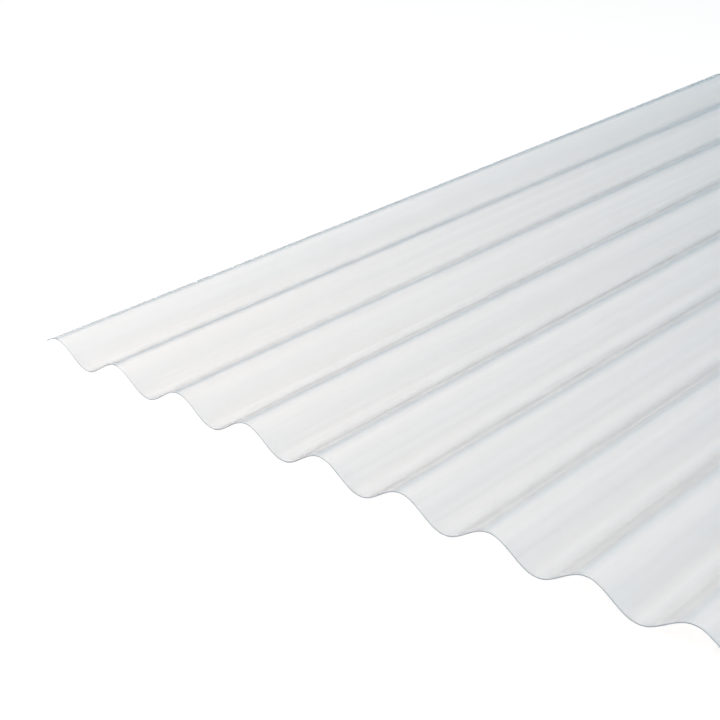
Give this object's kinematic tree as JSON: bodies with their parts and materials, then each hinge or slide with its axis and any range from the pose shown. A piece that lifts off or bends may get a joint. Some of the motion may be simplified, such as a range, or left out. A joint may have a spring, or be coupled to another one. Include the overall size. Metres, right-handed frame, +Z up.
{
  "type": "corrugated pvc roofing sheet",
  "caption": "Clear corrugated plastic roofing sheet with shallow sine waves along its length, trimmed square, with one long edge turned down and the other turned up for side laps.",
  "frame": {"origin": "under the middle of the sheet, on the plane that its troughs rest on", "axes": "+X across the corrugations, from the long edge that turns down to the one that turns up; +Y along the corrugations; +Z up, out of the weather face"},
  "size_m": [0.9, 2, 0.018],
  "materials": {
    "clear_pvc": "gloss, clear with a faint blue tint"
  },
  "bodies": {
    "root": {"corrugated_sheet": "clear_pvc"}
  },
  "joints": []
}
